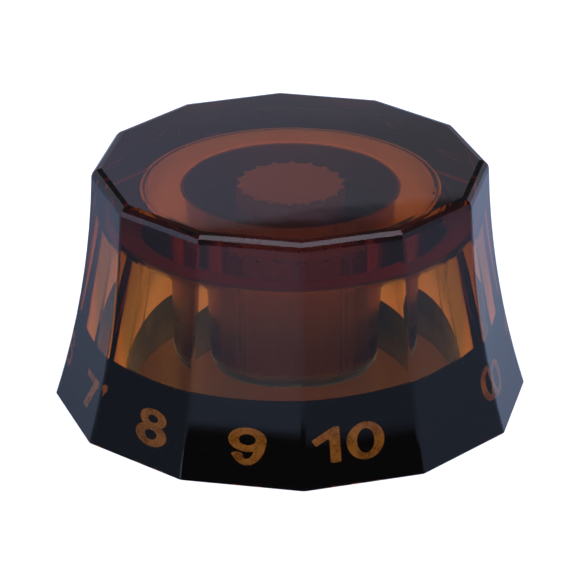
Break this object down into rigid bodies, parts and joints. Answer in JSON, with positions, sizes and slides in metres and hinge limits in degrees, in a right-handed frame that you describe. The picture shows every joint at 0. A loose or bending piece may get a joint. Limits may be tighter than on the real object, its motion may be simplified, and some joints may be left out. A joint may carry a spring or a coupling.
{
  "type": "instrument control knob",
  "caption": "Translucent amber twelve-sided flared control knob with a splined push-on socket, a black band and gold dial numerals inside the skirt.",
  "frame": {"origin": "centre of the rim's underside, on the shaft axis", "axes": "+Z along the shaft axis, up towards the top face; -Y looks out of the facet that carries the numeral 9"},
  "size_m": [0.0252, 0.0252, 0.0134],
  "materials": {
    "amber_acrylic": "clear moulded acrylic dyed dark amber, polished faces",
    "black_lacquer": "black lacquer laid on the inside of the skirt, glossy through the plastic",
    "gold_ink": "flat gold printing ink"
  },
  "bodies": {
    "root": {"knob_body": "amber_acrylic", "dial_band": "black_lacquer", "numeral_0": "gold_ink", "numeral_1": "gold_ink", "numeral_2": "gold_ink", "numeral_3": "gold_ink", "numeral_4": "gold_ink", "numeral_5": "gold_ink", "numeral_6": "gold_ink", "numeral_7": "gold_ink", "numeral_8": "gold_ink", "numeral_9": "gold_ink", "numeral_10": "gold_ink"}
  },
  "joints": []
}
